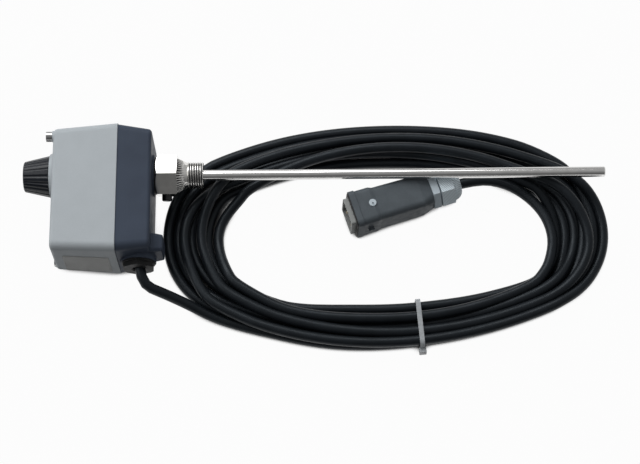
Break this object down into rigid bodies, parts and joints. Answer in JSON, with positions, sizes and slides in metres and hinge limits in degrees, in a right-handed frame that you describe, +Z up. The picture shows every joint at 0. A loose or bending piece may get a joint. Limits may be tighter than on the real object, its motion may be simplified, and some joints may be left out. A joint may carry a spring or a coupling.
{
  "type": "rod thermostat with cable",
  "caption": "Rod thermostat with a fluted knob on a grey housing, a hexagonal screw-in nipple with pipe thread, a slim probe rod, and a tied coil of black cable ending in a square connector.",
  "frame": {"origin": "on the probe rod's axis, where the pipe thread of the nipple starts", "axes": "+X along the probe rod, away from the knob; +Z up from the surface that the object lies on"},
  "size_m": [0.4459, 0.1849, 0.06],
  "materials": {
    "cover_plastic": "satin, finely textured light grey",
    "base_plastic": "satin, finely textured slate grey",
    "knob_plastic": "glossy black",
    "gland_plastic": "satin black",
    "light_plastic": "satin light grey",
    "insert_plastic": "satin grey",
    "tie_plastic": "natural, slightly translucent",
    "switch_plastic": "matt dark brown",
    "white_plastic": "satin white",
    "core_plastic": "satin brown insulation",
    "hood_metal": "textured grey paint on a casting",
    "nickel": "bright nickel plate",
    "stainless": "polished stainless steel",
    "screw_steel": "zinc plated",
    "sheet_steel": "plain sheet",
    "brass": "bright",
    "copper": "drawn copper",
    "black_rubber": "matt",
    "cable_sheath": "smooth satin black"
  },
  "bodies": {
    "housing": {"base_shell": "base_plastic", "cover_shell": "cover_plastic", "cover_gasket": "black_rubber", "cover_screws": "screw_steel", "spindle_bush": "brass", "range_spring": "screw_steel", "mounting_frame": "sheet_steel", "frame_screws": "screw_steel", "earth_screw": "brass", "lever_pivot_pin": "screw_steel", "snap_switch": "switch_plastic", "switch_screws": "screw_steel", "terminal_screws": "brass", "cable_cores": "core_plastic", "diaphragm_capsule": "stainless", "capillary_tube": "copper", "sensing_bulb": "copper", "probe_tube": "stainless", "nipple": "nickel", "nipple_seal": "black_rubber", "nipple_locknut": "nickel", "clamp_screw": "nickel", "gland_screw": "gland_plastic", "gland_washer": "screw_steel", "gland_seal": "black_rubber", "cable_lead": "cable_sheath", "cable_coil": "cable_sheath", "cable_tail": "cable_sheath", "cable_tie": "tie_plastic", "hood": "hood_metal", "hood_insert": "insert_plastic", "contacts": "brass", "hood_seal": "black_rubber", "hood_screw": "light_plastic", "hood_gland_body": "light_plastic", "hood_gland_cap": "light_plastic", "hood_gland_seal": "black_rubber"},
    "dial": {"knob": "knob_plastic", "spindle": "screw_steel"},
    "carriage": {"spring_carriage": "brass"},
    "lever": {"switch_lever": "sheet_steel", "calibration_screw": "brass"},
    "plunger": {"switch_plunger": "white_plastic"},
    "push_pin": {"capsule_pin": "screw_steel"}
  },
  "joints": [
    {"name": "knob_turn", "type": "hinge", "parent": "housing", "child": "dial", "pos_m": [-0.1, 0, 0], "axis": [1, 0, 0], "range_deg": [0, 270]},
    {"name": "carriage_slide", "type": "slide", "parent": "housing", "child": "carriage", "axis": [1, 0, 0], "range_m": [0, 0.003], "deforming": ["range_spring"]},
    {"name": "lever_tilt", "type": "hinge", "parent": "housing", "child": "lever", "pos_m": [-0.051, 0.014, 0], "axis": [0, 0, -1], "range_deg": [0, 2.5], "stiffness_Nm_per_rad": 0.1},
    {"name": "plunger_slide", "type": "slide", "parent": "housing", "child": "plunger", "axis": [-1, 0, 0], "range_m": [0, 0.0021]},
    {"name": "push_pin_slide", "type": "slide", "parent": "housing", "child": "push_pin", "axis": [-1, 0, 0], "range_m": [0, 0.0007]}
  ],
  "couplings": [
    {"joint": "carriage_slide", "follows": "knob_turn", "m_per_rad": 0.000636},
    {"joint": "plunger_slide", "follows": "lever_tilt", "m_per_rad": 0.046},
    {"joint": "push_pin_slide", "follows": "lever_tilt", "m_per_rad": 0.014}
  ]
}
